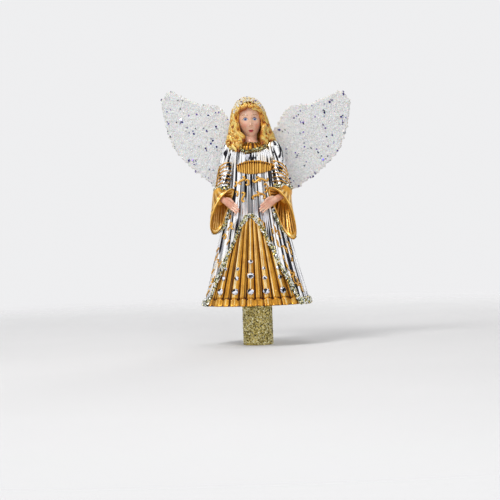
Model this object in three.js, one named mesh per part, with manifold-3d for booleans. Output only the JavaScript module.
// Angel tree topper: a hollow robed figure with two wings, on a neck that slips over a tree's tip.
// Millimetres, +Z up, front towards -Y. The origin is the centre of the neck's open end.
// Left and right are as seen from the front. Heights are above the hem unless a comment says otherwise.

import * as THREE from 'three';
import { mergeVertices } from 'three/addons/utils/BufferGeometryUtils.js';
import loadManifold from 'manifold-3d';

const wasm = await loadManifold();
wasm.setup();

// Glue gap between neighbouring pieces
const seatGap = 0.3;

// Neck tube and the plate that closes the skirt
const neckBore = 26.8;
const neckWall = 1.6;
const neckDrop = 42;
const neckFlangeReach = 4;
const neckFlangeThickness = 2.4;
const plateThickness = 3.5;
const plateRecess = 3;

// Gown: half widths across and half depths front to back, from the hem up
const hemHalfWidth = 54.5;
const hemHalfDepth = 46.5;
const thighHeight = 57;
const thighHalfWidth = 39.2;
const thighHalfDepth = 33;
const waistHeight = 93;
const waistHalfWidth = 30.8;
const waistHalfDepth = 25;
const ribHeight = 123;
const ribHalfWidth = 24.5;
const ribHalfDepth = 19.8;
const bustHeight = 148;
const bustHalfWidth = 21.8;
const bustHalfDepth = 17.6;
const shoulderHeight = 160;
const shoulderHalfWidth = 19.5;
const shoulderHalfDepth = 15;
const gownHeight = 166;
const gownRimRadius = 10;
const gownWall = 2.4;
const gownTopThickness = 8;
const coatPleatCount = 52;
const coatPleatDepth = 1.3;

// Front opening of the coat and the pleated underskirt panel in it
const panelHemHalfWidth = 47.5;
const panelShoulderHalfWidth = 11.4;
const panelShoulderHeight = 75.5;
const panelApexHeight = 89.7;
const panelPleatCount = 10;
const panelPleatDepth = 1.2;
const panelRise = 0.6;
const panelFlangeThickness = 1.6;
const panelFlangeReach = 4;
const panelFlangeStart = 14;
const hemBandHeight = 6.5;
const hemBandRise = 0.8;

// Glitter trims and ruffles
const trimThickness = 1.6;
const trimWidth = 4.1;
const hemTrimHeight = 9;
const bustRuffleHalfWidth = 18.5;
const bustRuffleFootHalfWidth = 15;
const bustRuffleBottom = 134.5;
const bustRuffleTop = 147;
const bustRuffleOffset = 3.9;
const ruffleThickness = 1.8;
const ruffleDepth = 0.5;
const collarHalfWidth = 13.5;
const collarFrontReach = 17.3;
const collarBackReach = 13.5;
const collarTrimRadius = 1.1;

// Rhinestones on the panel's ridges
const largeCrystal = 6.3;
const mediumCrystal = 4.4;
const smallCrystal = 3.3;
const crystalSeatDepth = 0.7;
const firstStoneHeight = 15;
const secondStoneHeight = 28.5;
const thirdStoneHeight = 38;
const middleStoneHeight = 31;
const topStoneHeight = 45;

// Arms
const sleeveHalfWidth = 8.8;
const sleeveHalfDepth = 10.3;
const sleeveSpread = 7.3;
const sleeveStandOff = 0.6;
const sleeveTop = 168.5;
const sleeveBottom = 107.5;
const elbowHeight = 9;
const shoulderCapHeight = 2;
const wristTrimHeight = 4;
const wristTrimBottom = 119;
const cuffWall = 1.5;
const cuffBead = 0.8;
const cuffBackRadius = 7.5;
const cuffBackOffset = 1.5;
const cuffBackRise = 7;
const cuffReach = 15.5;
const cuffFall = 21.5;
const cuffMouthHalfLength = 23.5;
const cuffLap = 4.7;
const rightCuffHalfWidth = 11;
const rightCuffDrop = 5.5;
const leftCuffHalfWidth = 8.4;
const leftCuffDrop = -3.5;
const leftCuffSwing = THREE.MathUtils.degToRad(8);
const forearmRadius = 3.6;
const forearmSocketDepth = 6;
const forearmLength = 17;
const cuffTrimRadius = 1.3;
const handHalfWidth = 5;
const handHalfThickness = 3.1;
const handInset = 4.5;
const handReachIn = 15.8;
const handReachForward = 9.5;
const handFall = 9.5;
const thumbRadius = 1.5;
const thumbLength = 8;

// Head, hair and tiara
const headTurn = THREE.MathUtils.degToRad(13);
const headLean = THREE.MathUtils.degToRad(4);
const throatLength = 8;
const headHalfWidth = 12;
const headHalfDepth = 13.2;
const headHalfHeight = 18;
const headForward = 1;
const noseHeight = 1.9;
const neckRadius = 6.6;
const spigotRadius = 5.4;
const spigotLength = 7;
const hairOverCrown = 3.5;
const hairBelowRim = 6;
const hairHalfWidth = 25;
const hairHalfDepth = 17.4;
const hairSetback = 1.2;
const faceHalfWidth = 11.2;
const hairPartHalfWidth = 8.2;
const fringeDrop = 7.5;
const hairLockCount = 20;
const hairLockDepth = 1.3;
const hairSway = 0.07;
const hairWaves = 3.5;
const tiaraThickness = 1.8;
const tiaraWidth = 4.5;
const tiaraDrop = 13;

// Wings
const wingThickness = 2.6;
const wingHalfSpan = 102;
const wingRootX = 14.5;
const wingTop = 223.5;
const wingBottom = 121;
const wingSweep = THREE.MathUtils.degToRad(8);
const wingTilt = THREE.MathUtils.degToRad(2.5);
const wingSetback = 21;
const wingTabInner = 3;
const wingTabHeight = 18;
const wingTabMiddle = 140;
const bossHalfWidth = 14;
const bossDepth = 10;
const bossHalfHeight = 15;
const scallopCount = 28;
const scallopDepth = 1.6;

// Finishes
const silver = new THREE.MeshStandardMaterial({ color: 0xc9ccd4, roughness: 0.12, metalness: 1 });
const gold = new THREE.MeshStandardMaterial({ color: 0xc48a27, roughness: 0.35, metalness: 0.8 });
const glitter = new THREE.MeshStandardMaterial({ color: 0xa9b28a, roughness: 0.4, metalness: 0.6 });
const neckGlitter = new THREE.MeshStandardMaterial({ color: 0x968c32, roughness: 0.6, metalness: 0.4 });
const skin = new THREE.MeshStandardMaterial({ color: 0xe4a587, roughness: 0.3, metalness: 0 });
const hairPaint = new THREE.MeshStandardMaterial({ color: 0xe8ad3c, roughness: 0.4, metalness: 0 });
const frost = new THREE.MeshStandardMaterial({ color: 0xdededc, roughness: 0.7, metalness: 0 });
const stone = new THREE.MeshStandardMaterial({ color: 0xe2e6ee, roughness: 0.05, metalness: 0.9 });

// Smooth curve through [height, value] stations, straight beyond both ends
function smoothProfile(stations) {
  const last = stations.length - 1;
  const slopes = stations.map((station, i) => {
    const before = stations[Math.max(i - 1, 0)];
    const after = stations[Math.min(i + 1, last)];
    return (after[1] - before[1]) / (after[0] - before[0]);
  });
  return (height) => {
    if (height <= stations[0][0]) return stations[0][1] + slopes[0] * (height - stations[0][0]);
    if (height >= stations[last][0]) return stations[last][1] + slopes[last] * (height - stations[last][0]);
    const i = stations.findIndex((station) => station[0] > height) - 1;
    const span = stations[i + 1][0] - stations[i][0];
    const t = (height - stations[i][0]) / span;
    const rest = 1 - t;
    return stations[i][1] * rest * rest * (1 + 2 * t)
      + stations[i + 1][1] * t * t * (3 - 2 * t)
      + slopes[i] * span * t * rest * rest
      - slopes[i + 1] * span * t * t * rest;
  };
}

// Closed body through rings of equally many points, with a fan over each end
function loft(rings) {
  const count = rings[0].length;
  const middle = (ring) => ring.reduce((sum, p) => sum.add(p), new THREE.Vector3()).divideScalar(count);
  const points = [...rings.flat(), middle(rings[0]), middle(rings.at(-1))];
  const startCentre = points.length - 2;
  const endCentre = points.length - 1;
  const endRing = (rings.length - 1) * count;
  const faces = [];
  for (let j = 0; j < count; j += 1) {
    const next = (j + 1) % count;
    faces.push([startCentre, next, j], [endCentre, endRing + j, endRing + next]);
    for (let ring = 0; ring < endRing; ring += count) {
      faces.push([ring + j, ring + next, ring + count + next]);
      faces.push([ring + j, ring + count + next, ring + count + j]);
    }
  }
  const volume = faces.reduce((sum, [a, b, c]) => {
    return sum + points[a].dot(new THREE.Vector3().crossVectors(points[b], points[c]));
  }, 0);
  const outward = volume > 0 ? faces : faces.map(([a, b, c]) => [a, c, b]);
  const geometry = new THREE.BufferGeometry().setFromPoints(points);
  geometry.setIndex(outward.flat());
  return geometry;
}

// Geometry to a solid that can be joined and cut, and back
function solid(geometry) {
  const bare = new THREE.BufferGeometry();
  bare.setAttribute('position', geometry.getAttribute('position'));
  bare.setIndex(geometry.getIndex());
  const merged = mergeVertices(bare);
  return new wasm.Manifold(new wasm.Mesh({
    numProp: 3,
    vertProperties: new Float32Array(merged.getAttribute('position').array),
    triVerts: new Uint32Array(merged.getIndex().array),
  }));
}

function geometryOf(shape) {
  const mesh = shape.getMesh();
  const geometry = new THREE.BufferGeometry();
  geometry.setAttribute('position', new THREE.BufferAttribute(mesh.vertProperties, 3));
  geometry.setIndex(new THREE.BufferAttribute(mesh.triVerts, 1));
  geometry.computeVertexNormals();
  return geometry;
}

function piece(name, shape, material) {
  const mesh = new THREE.Mesh(geometryOf(shape), material);
  mesh.name = name;
  return mesh;
}

// A right-hand piece and its mirror image on the left
function pair(rightName, leftName, shape, material) {
  const right = piece(rightName, shape, material);
  const left = piece(leftName, shape, material);
  left.scale.x = -1;
  return [right, left];
}

function upright(radius, bottom, top, segments = 32) {
  const cylinder = new THREE.CylinderGeometry(radius, radius, top - bottom, segments);
  return cylinder.rotateX(Math.PI / 2).translate(0, 0, (bottom + top) / 2);
}

// Outline drawn in X and height, extruded from the middle plane out through the front
function frontPrism(shape, start = 0) {
  const reach = hemHalfDepth * 2;
  const prism = new THREE.ExtrudeGeometry(shape, { depth: reach, bevelEnabled: false, curveSegments: 8 });
  return solid(prism.rotateX(Math.PI / 2).translate(0, start, 0));
}

// Gown surface
const gownHalfWidth = smoothProfile([
  [0, hemHalfWidth], [thighHeight, thighHalfWidth], [waistHeight, waistHalfWidth], [ribHeight, ribHalfWidth],
  [bustHeight, bustHalfWidth], [shoulderHeight, shoulderHalfWidth], [gownHeight, gownRimRadius],
]);
const gownHalfDepth = smoothProfile([
  [0, hemHalfDepth], [thighHeight, thighHalfDepth], [waistHeight, waistHalfDepth], [ribHeight, ribHalfDepth],
  [bustHeight, bustHalfDepth], [shoulderHeight, shoulderHalfDepth], [gownHeight, gownRimRadius],
]);
const skirtLevels = [0, 0.45, 1].map((share) => share * thighHeight);
const bodyLevels = [
  (thighHeight + waistHeight) / 2, waistHeight, ribHeight, bustHeight, shoulderHeight,
  (shoulderHeight + gownHeight) / 2, gownHeight,
];
const gownLevels = [...skirtLevels, ...bodyLevels];
const pleatFade = smoothProfile([[0, 1], [bustHeight, 0.5], [gownHeight, 0]]);
const gownInset = gownWall + coatPleatDepth;

function coatPleat(height) {
  return coatPleatDepth * Math.max(pleatFade(height), 0);
}

function gownPoint(angle, height, grow) {
  const across = gownHalfWidth(height) + grow;
  const deep = gownHalfDepth(height) + grow;
  return new THREE.Vector3(across * Math.sin(angle), -deep * Math.cos(angle), height);
}

function turn(count, makePoint) {
  return Array.from({ length: count }, (_, i) => makePoint((2 * Math.PI * i) / count, i));
}

// Smooth body around the coat's pleats, grown by the same amount all over
function gownAround(grow, ripple = () => 0, count = 56) {
  const rings = gownLevels.map((height) => turn(count, (angle, i) => {
    return gownPoint(angle, height, coatPleat(height) + grow + ripple(i));
  }));
  const foot = rings[0].map((p) => p.clone().setZ(-grow));
  const cap = rings.at(-1).map((p) => p.clone().setZ(gownHeight + grow));
  return solid(loft([foot, ...rings, cap]));
}

// Coarser body for the pieces that lie against the gown's side
function gownSide() {
  return gownAround(1.5 * seatGap, undefined, 28);
}

// Smooth hollow, open past the hem
function gownHollow(inset, top) {
  const levels = gownLevels.filter((height) => height < top - 1);
  const heights = [-hemBandHeight, ...levels, top];
  return solid(loft(heights.map((height) => turn(28, (angle) => gownPoint(angle, height, -inset)))));
}

const hollowTop = gownHeight - gownTopThickness;
const coatHollow = gownHollow(gownInset, hollowTop);

// Lancet opening between the coat's edges, grown sideways
function openingShape(grow, bottom = -hemBandHeight) {
  const slope = (panelHemHalfWidth - panelShoulderHalfWidth) / panelShoulderHeight;
  const footHalf = panelHemHalfWidth - slope * bottom + grow;
  const shoulderHalf = panelShoulderHalfWidth + grow;
  const apex = panelApexHeight + grow;
  const bend = panelShoulderHeight + (apex - panelShoulderHeight) * 0.75;
  const shape = new THREE.Shape();
  shape.moveTo(-footHalf, bottom);
  shape.lineTo(footHalf, bottom);
  shape.lineTo(shoulderHalf, panelShoulderHeight);
  shape.quadraticCurveTo(shoulderHalf * 0.55, bend, 0, apex);
  shape.quadraticCurveTo(-shoulderHalf * 0.55, bend, -shoulderHalf, panelShoulderHeight);
  return shape;
}

// Wing plane: a flat sheet behind the back, turned back from the root
function toWingPlane(geometry) {
  return geometry.translate(0, 0, -wingThickness / 2).rotateX(Math.PI / 2).rotateZ(wingSweep)
    .translate(0, wingSetback, 0);
}

function wingSlot() {
  const length = bossHalfWidth + wingTabInner;
  const slot = new THREE.BoxGeometry(length, wingTabHeight + 2 * seatGap, wingThickness + 2 * seatGap);
  const outward = wingTabInner - seatGap + length / 2;
  return solid(toWingPlane(slot.translate(outward, wingTabMiddle, wingThickness / 2)));
}

function mirrored(shape) {
  return shape.mirror([1, 0, 0]);
}

// The pair of wings is glued in a little askew, the left one higher
function askew(shape) {
  const fall = -Math.tan(wingTilt);
  return shape.transform([1, 0, fall, 0, 0, 1, 0, 0, 0, 0, 1, 0, 0, 0, 0, 1]);
}

// Boss on the back that takes both wing tabs
function backBoss(grow) {
  const ball = new THREE.SphereGeometry(1, 18, 10).rotateX(Math.PI / 2);
  ball.scale(bossHalfWidth + grow, bossDepth + grow, bossHalfHeight + grow);
  return solid(ball.translate(0, gownHalfDepth(wingTabMiddle) - gownWall / 2, wingTabMiddle));
}

function makeGown() {
  const rings = gownLevels.map((height) => turn(coatPleatCount * 2, (angle, i) => {
    return gownPoint(angle, height, i % 2 === 0 ? coatPleat(height) : -coatPleat(height));
  }));
  const neckHole = upright(spigotRadius + seatGap, hollowTop - gownWall, gownHeight + gownWall, 24);
  const slot = wingSlot();
  return solid(loft(rings)).add(backBoss(0)).subtract(coatHollow)
    .subtract(frontPrism(openingShape(0)))
    .subtract(solid(neckHole)).subtract(askew(slot)).subtract(askew(mirrored(slot)));
}

// Underskirt panel: pleats that fan out from the apex to a raised hem band
function panelHalfWidth(height) {
  const slope = (panelHemHalfWidth - panelShoulderHalfWidth) / panelShoulderHeight;
  if (height <= panelShoulderHeight) return panelHemHalfWidth - slope * height;
  const t = (height - panelShoulderHeight) / (panelApexHeight - panelShoulderHeight);
  return panelShoulderHalfWidth * (1 - t) * (1 + 0.4 * t);
}

function panelPoint(share, height, rise) {
  const x = share * (panelHalfWidth(height) - seatGap);
  const across = gownHalfWidth(height) + rise;
  const deep = gownHalfDepth(height) + rise;
  return new THREE.Vector3(x, -deep * Math.sqrt(1 - (x / across) ** 2), height);
}

function panelRidge(height) {
  return panelPleatDepth * (1 - 0.65 * Math.min(height / panelApexHeight, 1));
}

function makePanel() {
  const wave = [1, 0.5, -1, 0.5];
  const steps = panelPleatCount * wave.length;
  const bandEdge = 0.8;
  const levels = [
    0, hemBandHeight - bandEdge, hemBandHeight, thighHeight * 0.45, thighHeight,
    (thighHeight + panelShoulderHeight) / 2, panelShoulderHeight, (panelShoulderHeight + panelApexHeight) / 2,
    panelApexHeight - 2.5,
  ];
  const rings = levels.map((height) => {
    const inBand = height < hemBandHeight;
    const rise = inBand ? panelRise + hemBandRise : panelRise - panelRidge(height);
    const depth = inBand ? panelRidge(height) / 3 : panelRidge(height);
    const front = Array.from({ length: steps + 1 }, (_, i) => {
      return panelPoint((2 * i) / steps - 1, height, rise + depth * wave[i % wave.length]);
    });
    const back = [front.at(-1), front[0]].map((p) => new THREE.Vector3(p.x, -gownWall, height));
    return [...front, ...back];
  });
  const deepInset = gownInset + seatGap + panelFlangeThickness;
  const deepHollow = gownHollow(deepInset, hollowTop);
  const plateZone = upright(hemHalfWidth * 2, -hemBandHeight * 2, panelFlangeStart, 8);
  const flange = gownHollow(gownInset + seatGap, hollowTop).subtract(deepHollow)
    .intersect(frontPrism(openingShape(panelFlangeReach, panelFlangeStart)));
  return solid(loft(rings)).subtract(coatHollow.intersect(solid(plateZone))).subtract(deepHollow).add(flange);
}

// Rhinestones: rows of round stones with a flat back, on every second ridge
const stoneRows = [
  {
    ridge: 0,
    stones: [
      [firstStoneHeight, largeCrystal], [middleStoneHeight, largeCrystal], [topStoneHeight, mediumCrystal],
    ],
  },
  ...[2, 4].map((ridge) => ({
    ridge,
    stones: [
      [firstStoneHeight, largeCrystal], [secondStoneHeight, mediumCrystal], [thirdStoneHeight, smallCrystal],
    ],
  })),
];

function stonePlaces() {
  const places = [];
  for (const row of stoneRows) {
    const sides = row.ridge === 0 ? [0] : [-1, 1];
    for (const side of sides) {
      for (const [height, width] of row.stones) {
        places.push({ share: (side * row.ridge * 2) / panelPleatCount, height, width });
      }
    }
  }
  return places.sort((a, b) => a.height - b.height || a.share - b.share);
}

function stoneFrame(place) {
  const step = 0.5;
  const share = step / panelHalfWidth(place.height);
  const at = panelPoint(place.share, place.height, panelRise);
  const across = panelPoint(place.share + share, place.height, panelRise).sub(at);
  const up = panelPoint(place.share, place.height + step, panelRise).sub(at);
  const out = across.clone().cross(up).normalize();
  const side = across.normalize();
  return new THREE.Matrix4().makeBasis(side, out.clone().cross(side), out).setPosition(at);
}

function stoneShape(width) {
  const height = width * 0.34;
  const sink = crystalSeatDepth - seatGap;
  const profile = [[0, 0], [0.5, 0], [0.5, 0.3], [0.3, 1], [0, 1]];
  const points = profile.map(([r, h]) => new THREE.Vector2(r * width, h * height));
  return new THREE.LatheGeometry(points, 8).rotateX(Math.PI / 2).translate(0, 0, -sink);
}

function stoneSeat(width) {
  return upright(width / 2 + seatGap, -crystalSeatDepth, width, 8);
}

function makePanelWithStones() {
  const places = stonePlaces();
  let panel = makePanel();
  const stones = places.map((place, i) => {
    const frame = stoneFrame(place);
    panel = panel.subtract(solid(stoneSeat(place.width).applyMatrix4(frame)));
    const name = `rhinestone_${String(i + 1).padStart(2, '0')}`;
    const mesh = piece(name, solid(stoneShape(place.width)), stone);
    mesh.applyMatrix4(frame);
    return mesh;
  });
  return [piece('underskirt_panel', panel, gold), ...stones];
}

// Thin skin over the coat, cut to an outline seen from the front
function coatSkin(thickness, ripple, count) {
  return gownAround(seatGap + thickness, ripple, count).subtract(gownAround(seatGap, undefined, count));
}

// One half of the coat's edging: up the front opening and round the hem to the middle of the back
function makeCoatTrim() {
  const shape = new THREE.Shape();
  shape.moveTo(panelHemHalfWidth, 0);
  shape.lineTo(panelHemHalfWidth + trimWidth, 0);
  shape.lineTo(panelShoulderHalfWidth + trimWidth, panelShoulderHeight);
  shape.quadraticCurveTo(trimWidth * 2, panelApexHeight, seatGap, panelApexHeight + trimWidth);
  shape.lineTo(seatGap, panelApexHeight + seatGap);
  const innerBend = panelApexHeight - trimWidth * 0.65;
  const shoulder = panelShoulderHalfWidth;
  shape.quadraticCurveTo(shoulder * 0.6, innerBend, shoulder, panelShoulderHeight);
  const hemZone = new THREE.BoxGeometry(hemHalfWidth * 2, hemHalfDepth * 4, hemTrimHeight)
    .translate(hemHalfWidth + seatGap, 0, hemTrimHeight / 2);
  const hem = solid(hemZone).subtract(frontPrism(openingShape(0)));
  return coatSkin(trimThickness).intersect(frontPrism(shape).add(hem));
}

// Bust ruffle: a fan of pleats, glued on a little to the right
function makeBustRuffle() {
  const shape = new THREE.Shape();
  const bow = 2;
  const middle = bustRuffleOffset;
  const foot = bustRuffleFootHalfWidth;
  shape.moveTo(middle - foot, bustRuffleBottom + bow);
  shape.quadraticCurveTo(middle, bustRuffleBottom - bow, middle + foot, bustRuffleBottom + bow);
  shape.lineTo(middle + bustRuffleHalfWidth, bustRuffleTop - bow);
  shape.quadraticCurveTo(middle, bustRuffleTop + bow, middle - bustRuffleHalfWidth, bustRuffleTop - bow);
  const ripple = (i) => (i % 2 === 0 ? ruffleDepth : -ruffleDepth);
  return coatSkin(ruffleThickness, ripple).intersect(frontPrism(shape, -bustHalfDepth / 4))
    .subtract(sleeveAround(seatGap));
}

// Collar: a rippled ring over the top of the gown, longer in front and turned with the head
function collarPoint(angle, grow) {
  const reach = Math.cos(angle) > 0 ? collarFrontReach : collarBackReach;
  const across = (collarHalfWidth + grow) * Math.sin(angle);
  const deep = -(reach + grow) * Math.cos(angle);
  return new THREE.Vector3(across, deep, 0).applyAxisAngle(new THREE.Vector3(0, 0, 1), headTurn);
}

function makeCollar() {
  const ripple = (i) => (i % 2 === 0 ? ruffleDepth : -ruffleDepth);
  const aboveRim = gownHeight + gownTopThickness;
  const oval = (height) => turn(28, (angle) => collarPoint(angle, 0).setZ(height));
  const outline = solid(loft([oval(bustHeight), oval(aboveRim)]));
  const neckHole = solid(upright(neckRadius + 2 * seatGap, bustHeight, aboveRim, 24));
  return coatSkin(ruffleThickness, ripple, 36).intersect(outline)
    .subtract(neckHole).subtract(backBoss(seatGap));
}

function makeCollarTrim() {
  const lift = collarTrimRadius + 2.5 * seatGap;
  const onGown = (x, y) => {
    let low = bustHeight / 2;
    let high = gownHeight;
    for (let i = 0; i < 30; i += 1) {
      const height = (low + high) / 2;
      const reach = coatPleat(height) + lift;
      const out = Math.hypot(x / (gownHalfWidth(height) + reach), y / (gownHalfDepth(height) + reach));
      if (out < 1) low = height;
      else high = height;
    }
    return low;
  };
  const points = turn(28, (angle) => {
    const point = collarPoint(angle, lift);
    return point.setZ(onGown(point.x, point.y) + 2 * seatGap);
  });
  const path = new THREE.CatmullRomCurve3(points, true);
  return solid(sweep(path, collarTrimRadius, 26));
}

// Round bar of six sides along a curve
function sweep(path, radius, steps) {
  const section = new THREE.Shape();
  section.absarc(0, 0, radius, 0, 2 * Math.PI);
  return new THREE.ExtrudeGeometry(section, { steps, extrudePath: path, curveSegments: 3 });
}

// Sleeve: an upper arm hanging from the shoulder, cut to lie against the gown
const sleeveStations = [
  [sleeveBottom, 0.3], [sleeveBottom + elbowHeight / 3, 0.75], [sleeveBottom + elbowHeight, 0.98],
  [ribHeight, 1], [(ribHeight + bustHeight) / 2, 0.975], [bustHeight, 0.94],
  [shoulderHeight, 0.86], [sleeveTop - shoulderCapHeight, 0.6], [sleeveTop, 0.25],
];
const sleeveSwell = smoothProfile(sleeveStations);

function armX(height) {
  const fall = (gownHeight - height) / (gownHeight - ribHeight);
  return bustHalfWidth + sleeveStandOff + sleeveSpread * fall;
}

function sleeveRing(height, grow) {
  const swell = sleeveSwell(height);
  return turn(18, (angle) => new THREE.Vector3(
    armX(height) + (sleeveHalfWidth * swell + grow) * Math.sin(angle),
    -(sleeveHalfDepth * swell + grow) * Math.cos(angle),
    height,
  ));
}

function sleeveAround(grow) {
  const rings = sleeveStations.map(([height]) => sleeveRing(height, grow));
  if (grow === 0) return solid(loft(rings));
  const foot = rings[0].map((p) => p.clone().setZ(sleeveBottom - grow));
  const cap = rings.at(-1).map((p) => p.clone().setZ(sleeveTop + grow));
  return solid(loft([foot, ...rings, cap]));
}

// Cuff: a bell sleeve from a round back on the forearm to a long hanging mouth
const forearmWay = new THREE.Vector3(-0.19, -0.89, -0.42).normalize();
const cuffBack = new THREE.Vector3(
  armX(sleeveBottom) + cuffBackOffset, -sleeveHalfDepth * 0.8, sleeveBottom + cuffBackRise,
);
const cuffMouth = cuffBack.clone().add(new THREE.Vector3(0, -cuffReach, -cuffFall));
const mouthDown = new THREE.Vector3(0.36, -0.1, -0.93).normalize();
const mouthOut = new THREE.Vector3(0.8, -0.55, 0.25).projectOnPlane(mouthDown).normalize();
const backDown = mouthDown.clone().projectOnPlane(forearmWay).normalize();
const backOut = mouthOut.clone().projectOnPlane(forearmWay).normalize();

// The right cuff hangs lower, the left one is narrower and swung about its back
const rightCuff = { halfWidth: rightCuffHalfWidth, drop: rightCuffDrop, swing: 0 };
const leftCuff = { halfWidth: leftCuffHalfWidth, drop: leftCuffDrop, swing: leftCuffSwing };

// The mouth's upper end laps inward over the wrist
function cuffPoint(angle, along, grow, { halfWidth, drop, swing }) {
  const flare = along ** 1.5;
  const hang = cuffMouthHalfLength * Math.cos(angle) + drop * Math.max(Math.cos(angle), 0) ** 2;
  const spread = halfWidth * Math.sin(angle) * (0.85 + 0.15 * Math.cos(angle));
  const mouth = mouthDown.clone().multiplyScalar(hang).addScaledVector(mouthOut, spread);
  mouth.x -= cuffLap * Math.max(-Math.cos(angle), 0) ** 2;
  const back = backDown.clone().multiplyScalar(cuffBackRadius * Math.cos(angle))
    .addScaledVector(backOut, cuffBackRadius * Math.sin(angle));
  const offset = back.lerp(mouth, flare);
  offset.setLength(offset.length() + grow);
  const out = cuffMouth.clone().sub(cuffBack).multiplyScalar(along).add(offset);
  return out.applyAxisAngle(new THREE.Vector3(0, 0, 1), -swing * flare).add(cuffBack);
}

// Outward direction of the cuff's wall
function cuffNormal(angle, along, cuff) {
  const step = 0.02;
  const around = cuffPoint(angle + step, along, 0, cuff).sub(cuffPoint(angle - step, along, 0, cuff));
  const forward = cuffPoint(angle, along + step, 0, cuff).sub(cuffPoint(angle, along - step, 0, cuff));
  return around.cross(forward).normalize();
}

function cuffRing(along, grow, cuff) {
  return turn(20, (angle) => cuffPoint(angle, along, grow, cuff));
}

function cuffAround(grow, cuff) {
  const rings = [0, 0.2, 0.45, 0.7, 0.9, 1].map((along) => cuffRing(along, grow, cuff));
  const back = rings[0].map((p) => p.clone().addScaledVector(forearmWay, -grow));
  return solid(loft([back, ...rings]));
}

function rod(radius, start, end, segments) {
  const way = end.clone().sub(start);
  const cylinder = new THREE.CylinderGeometry(radius, radius, way.length(), segments);
  const axis = new THREE.Vector3(0, 1, 0);
  const turnTo = new THREE.Quaternion().setFromUnitVectors(axis, way.clone().normalize());
  return cylinder.applyQuaternion(turnTo).translate(...start.clone().add(end).divideScalar(2).toArray());
}

const socketEnd = cuffBack.clone().addScaledVector(forearmWay, -forearmSocketDepth);

// Both cuffs' shapes together, which keeps the sleeves alike
function cuffsAround(grow) {
  return cuffAround(grow, rightCuff).add(cuffAround(grow, leftCuff));
}

function makeCuff(cuff) {
  const outside = [[0, 0], [0.2, 0], [0.45, 0], [0.7, 0], [0.9, 0], [0.94, cuffBead], [0.99, cuffBead]];
  const inside = [[1, 0], [1, -cuffWall], [0.7, -cuffWall], [0.45, -cuffWall], [0.2, -cuffWall]];
  const rings = [...outside, ...inside].map(([along, grow]) => cuffRing(along, grow, cuff));
  return solid(loft(rings)).subtract(handAround(seatGap)).subtract(gownSide());
}

function makeSleeve() {
  const socketFloor = socketEnd.clone().addScaledVector(forearmWay, -seatGap);
  const socketMouth = cuffBack.clone().addScaledVector(forearmWay, forearmSocketDepth);
  const socket = rod(forearmRadius + seatGap, socketFloor, socketMouth, 16);
  return sleeveAround(0).subtract(gownSide()).subtract(cuffsAround(seatGap)).subtract(solid(socket));
}

function makeWristTrim() {
  const heights = [wristTrimBottom, wristTrimBottom + wristTrimHeight];
  const outer = solid(loft(heights.map((height) => sleeveRing(height, seatGap + trimThickness))));
  return outer.subtract(sleeveAround(seatGap)).subtract(gownSide()).subtract(cuffsAround(seatGap));
}

function makeCuffTrim(cuff) {
  const lift = cuffBead + seatGap + cuffTrimRadius;
  const from = THREE.MathUtils.degToRad(-95);
  const to = THREE.MathUtils.degToRad(12);
  const rim = 0.94;
  const steps = 11;
  const points = Array.from({ length: steps + 1 }, (_, i) => {
    const angle = from + ((to - from) * i) / steps;
    return cuffPoint(angle, rim, 0, cuff).addScaledVector(cuffNormal(angle, rim, cuff), lift);
  });
  const bar = solid(sweep(new THREE.CatmullRomCurve3(points), cuffTrimRadius, 18));
  return bar.subtract(gownSide());
}

// Hand on a forearm pin that locks the cuff to the sleeve, bent inward at the wrist
function handAround(grow) {
  const wrist = cuffBack.clone().addScaledVector(forearmWay, forearmLength);
  wrist.x -= handInset;
  const way = new THREE.Vector3(-handReachIn, -handReachForward, -handFall);
  const stations = [
    [socketEnd, forearmRadius, forearmRadius],
    [cuffBack.clone().addScaledVector(forearmWay, forearmLength * 0.5), forearmRadius, forearmRadius],
    [wrist, forearmRadius, handHalfThickness],
    [wrist.clone().addScaledVector(way, 0.28), handHalfWidth, handHalfThickness],
    [wrist.clone().addScaledVector(way, 0.55), handHalfWidth * 0.96, handHalfThickness * 0.95],
    [wrist.clone().addScaledVector(way, 0.82), handHalfWidth * 0.7, handHalfThickness * 0.75],
    [wrist.clone().addScaledVector(way, 0.98), handHalfWidth * 0.3, handHalfThickness * 0.35],
  ];
  const rings = stations.map(([centre, wide, thick], i) => {
    const before = stations[Math.max(i - 1, 0)][0];
    const after = stations[Math.min(i + 1, stations.length - 1)][0];
    const tangent = after.clone().sub(before).normalize();
    const up = new THREE.Vector3(0, 0, 1).projectOnPlane(tangent).normalize();
    const side = tangent.clone().cross(up);
    return turn(14, (angle) => centre.clone().addScaledVector(up, (wide + grow) * Math.cos(angle))
      .addScaledVector(side, (thick + grow) * Math.sin(angle)));
  });
  const thumbMiddle = wrist.clone().addScaledVector(way, 0.2)
    .add(new THREE.Vector3(-thumbLength / 2, -thumbLength / 4, handHalfWidth * 0.7));
  const thumb = new THREE.CapsuleGeometry(thumbRadius + grow, thumbLength, 3, 8).rotateZ(1.15).rotateY(-0.5)
    .translate(...thumbMiddle.toArray());
  return solid(loft(rings)).add(solid(thumb));
}

// Head: an oval narrowing to the chin, with a nose, on a neck and a spigot
const headHeight = gownHeight + throatLength + headHalfHeight;

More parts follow.
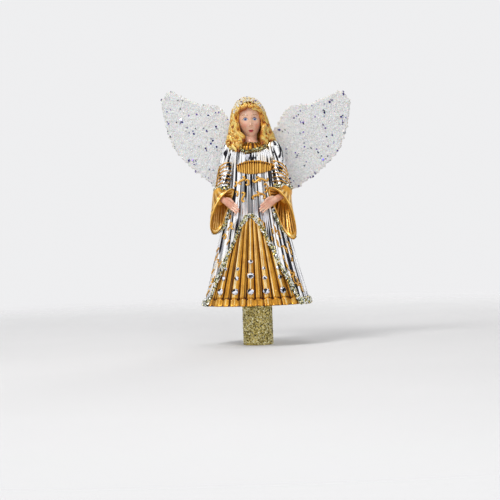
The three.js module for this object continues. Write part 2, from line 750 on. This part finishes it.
function headAround(grow, across = 20, up = 14) {
  const ball = new THREE.SphereGeometry(1, across, up).rotateX(Math.PI / 2);
  const place = ball.getAttribute('position');
  for (let i = 0; i < place.count; i += 1) {
    const way = new THREE.Vector3().fromBufferAttribute(place, i);
    const jaw = 1 - 0.2 * THREE.MathUtils.smoothstep(-way.z, 0.1, 1.1);
    const bridge = Math.exp(-((way.x / 0.11) ** 2) - ((way.z + 0.2) / 0.13) ** 2);
    const nose = way.y < 0 ? noseHeight * bridge : 0;
    place.setXYZ(
      i,
      way.x * jaw * (headHalfWidth + grow),
      way.y * jaw * (headHalfDepth + grow) - nose - headForward,
      way.z * (headHalfHeight + grow) + headHeight,
    );
  }
  return solid(ball).add(solid(upright(neckRadius + grow, gownHeight + seatGap - grow, headHeight, 24)));
}

// Head, hair and tiara are turned on the neck and lean from its foot
function posed(shape) {
  const lean = Math.tan(headLean);
  const foot = gownHeight * lean;
  return shape.rotate([0, 0, THREE.MathUtils.radToDeg(headTurn)])
    .transform([1, 0, 0, 0, 0, 1, 0, 0, -lean, 0, 1, 0, foot, 0, 0, 1]);
}

function makeHead() {
  const spigot = upright(spigotRadius, gownHeight - spigotLength, gownHeight + throatLength / 2, 24);
  return posed(headAround(0)).add(solid(spigot));
}

// Hair: waved locks from the crown to the shoulders, open in front of the face
const hairTop = headHeight + headHalfHeight + hairOverCrown;
const hairBottom = gownHeight - hairBelowRim;
const hairLength = hairTop - hairBottom;
const hairStations = [
  { up: 0, wide: 0.88, deep: 0.69 },
  { up: 0.107, wide: 1, deep: 0.805 },
  { up: 0.25, wide: 0.93, deep: 0.897 },
  { up: 0.43, wide: 0.8, deep: 0.954 },
  { up: 0.643, wide: 0.695, deep: 1 },
  { up: 0.786, wide: 0.62, deep: 0.954 },
  { up: 0.893, wide: 0.48, deep: 0.793 },
  { up: 0.964, wide: 0.3, deep: 0.529 },
  { up: 1, wide: 0.1, deep: 0.172 },
];
const crownStart = 0.643;
const hairWide = smoothProfile(hairStations.map(({ up, wide }) => [up, wide]));
const hairDeep = smoothProfile(hairStations.map(({ up, deep }) => [up, deep]));
const hairLevels = [0, 0.05, 0.107, 0.18, 0.25, 0.34, 0.43, 0.54, 0.643, 0.715, 0.786, 0.84, 0.893, 0.964, 1];

// Body of the hair, ridged into locks that sway from side to side as they fall.
// A grown copy rises as well near the crown.
function hairBody(grow, lockDepth, count) {
  const rings = hairLevels.map((up) => turn(count, (angle, i) => {
    const fade = Math.min((1 - up) * 2.8, 1);
    const wave = lockDepth * fade * (i % 2 === 0 ? 1 : -1);
    const swayed = angle - hairSway * fade * Math.sin(2 * Math.PI * hairWaves * up);
    return new THREE.Vector3(
      (hairHalfWidth * hairWide(up) + grow + wave) * Math.sin(swayed),
      hairSetback - (hairHalfDepth * hairDeep(up) + grow + wave) * Math.cos(swayed),
      hairBottom + hairLength * up + grow * Math.max((up - crownStart) / (1 - crownStart), 0),
    );
  }));
  return solid(loft(rings));
}

// Window for the face and the throat between the front locks
function faceWindow() {
  const chin = headHeight - headHalfHeight;
  const eyes = headHeight;
  const fringe = headHeight + headHalfHeight - fringeDrop;
  const foot = hairBottom - hairBelowRim;
  const throat = chin - throatLength / 2;
  const cheeks = (chin + eyes) / 2;
  const shape = new THREE.Shape();
  shape.moveTo(-hairPartHalfWidth, foot);
  shape.lineTo(hairPartHalfWidth, foot);
  shape.lineTo(hairPartHalfWidth, throat);
  shape.quadraticCurveTo(faceHalfWidth * 1.05, cheeks, faceHalfWidth, eyes);
  shape.quadraticCurveTo(faceHalfWidth * 0.85, fringe, 0, fringe);
  shape.quadraticCurveTo(-faceHalfWidth * 0.85, fringe, -faceHalfWidth, eyes);
  shape.quadraticCurveTo(-faceHalfWidth * 1.05, cheeks, -hairPartHalfWidth, throat);
  return frontPrism(shape, -2 * headForward);
}

function makeHair(sleeve) {
  const open = hairBody(0, hairLockDepth, hairLockCount * 2)
    .subtract(headAround(2 * seatGap, 14, 9)).subtract(faceWindow());
  return posed(open)
    .subtract(gownAround(2 * seatGap + ruffleThickness + ruffleDepth + 2 * collarTrimRadius, undefined, 24))
    .subtract(backBoss(seatGap)).subtract(sleeve).subtract(mirrored(sleeve));
}

function makeTiara() {
  const over = hairLockDepth * 0.5 + seatGap;
  const slab = new THREE.BoxGeometry(hemHalfWidth, tiaraWidth, tiaraDrop * 2);
  const band = solid(slab.translate(0, -tiaraWidth / 2, hairTop));
  return hairBody(over + tiaraThickness, 0, 26).subtract(hairBody(over, 0, 26)).intersect(band);
}

// Wing: a flat sheet with a scalloped feather edge and a root tab
function wingOutline() {
  const span = wingHalfSpan - wingRootX;
  const height = wingTop - wingBottom;
  const edge = [
    [0, 0.12], [0.07, 0.02], [0.3, 0], [0.48, 0.1], [0.63, 0.2], [0.77, 0.32], [0.88, 0.45], [0.95, 0.64],
    [1, 0.85], [0.95, 0.955], [0.88, 1], [0.7, 0.93], [0.48, 0.86], [0.28, 0.83], [0.18, 0.76],
    [0.125, 0.65], [0.03, 0.54], [0, 0.38],
  ].map(([out, up]) => new THREE.Vector2(wingRootX + span * out, wingBottom + height * up));
  const steps = scallopCount * 3;
  const curve = new THREE.SplineCurve(edge);
  const points = Array.from({ length: steps + 1 }, (_, i) => {
    const t = i / steps;
    const tangent = curve.getTangent(t);
    const lift = scallopDepth * (Math.abs(Math.sin(Math.PI * scallopCount * t)) - 0.5);
    const fade = Math.min(t / 0.12, (1 - t) / 0.2, 1);
    return curve.getPoint(t).add(new THREE.Vector2(tangent.y, -tangent.x).multiplyScalar(lift * fade));
  });
  const tabBottom = wingTabMiddle - wingTabHeight / 2;
  const tabTop = wingTabMiddle + wingTabHeight / 2;
  return new THREE.Shape([
    ...points, new THREE.Vector2(wingRootX, tabTop), new THREE.Vector2(wingTabInner, tabTop),
    new THREE.Vector2(wingTabInner, tabBottom), new THREE.Vector2(wingRootX, tabBottom),
  ]);
}

function makeWing() {
  const sheet = new THREE.ExtrudeGeometry(wingOutline(), { depth: wingThickness, bevelEnabled: false });
  return solid(toWingPlane(sheet));
}

// Base plate seated in the skirt's taper, and the neck hung on it by a flange
function makeBasePlate() {
  const top = plateRecess + plateThickness;
  const rings = [plateRecess, top].map((height) => turn(28, (angle) => {
    return gownPoint(angle, height, -gownInset - seatGap);
  }));
  const hole = upright(neckBore / 2 + neckWall + seatGap, plateRecess - 1, top + 1, 40);
  return solid(loft(rings)).subtract(solid(hole));
}

function makeNeck() {
  const inner = neckBore / 2;
  const outer = inner + neckWall;
  const seat = plateRecess + plateThickness + seatGap;
  const flange = outer + neckFlangeReach;
  const points = [
    [inner, -neckDrop], [outer, -neckDrop], [outer, seat], [flange, seat],
    [flange, seat + neckFlangeThickness], [inner, seat + neckFlangeThickness], [inner, -neckDrop],
  ].map(([r, h]) => new THREE.Vector2(r, h));
  return solid(new THREE.LatheGeometry(points, 40).rotateX(Math.PI / 2));
}

const sleeve = makeSleeve();
const wing = makeWing();
const figure = new THREE.Group();
figure.position.z = neckDrop;
figure.add(
  piece('neck_tube', makeNeck(), neckGlitter),
  piece('base_plate', makeBasePlate(), silver),
  piece('gown', makeGown(), silver),
  ...makePanelWithStones(),
  ...pair('coat_trim_right', 'coat_trim_left', makeCoatTrim(), glitter),
  piece('bust_ruffle', makeBustRuffle(), gold),
  piece('collar_ruffle', makeCollar(), gold),
  piece('collar_trim', makeCollarTrim(), glitter),
  ...pair('sleeve_right', 'sleeve_left', sleeve, silver),
  ...pair('wrist_trim_right', 'wrist_trim_left', makeWristTrim(), glitter),
  piece('cuff_right', makeCuff(rightCuff), gold),
  piece('cuff_left', mirrored(makeCuff(leftCuff)), gold),
  piece('cuff_trim_right', makeCuffTrim(rightCuff), glitter),
  piece('cuff_trim_left', mirrored(makeCuffTrim(leftCuff)), glitter),
  ...pair('hand_right', 'hand_left', handAround(0), skin),
  piece('head', makeHead(), skin),
  piece('hair', makeHair(sleeveAround(seatGap)), hairPaint),
  piece('tiara', posed(makeTiara()), glitter),
  piece('wing_right', askew(wing), frost),
  piece('wing_left', askew(mirrored(wing)), frost),
);

const topper = new THREE.Group();
topper.add(figure);

export default topper;
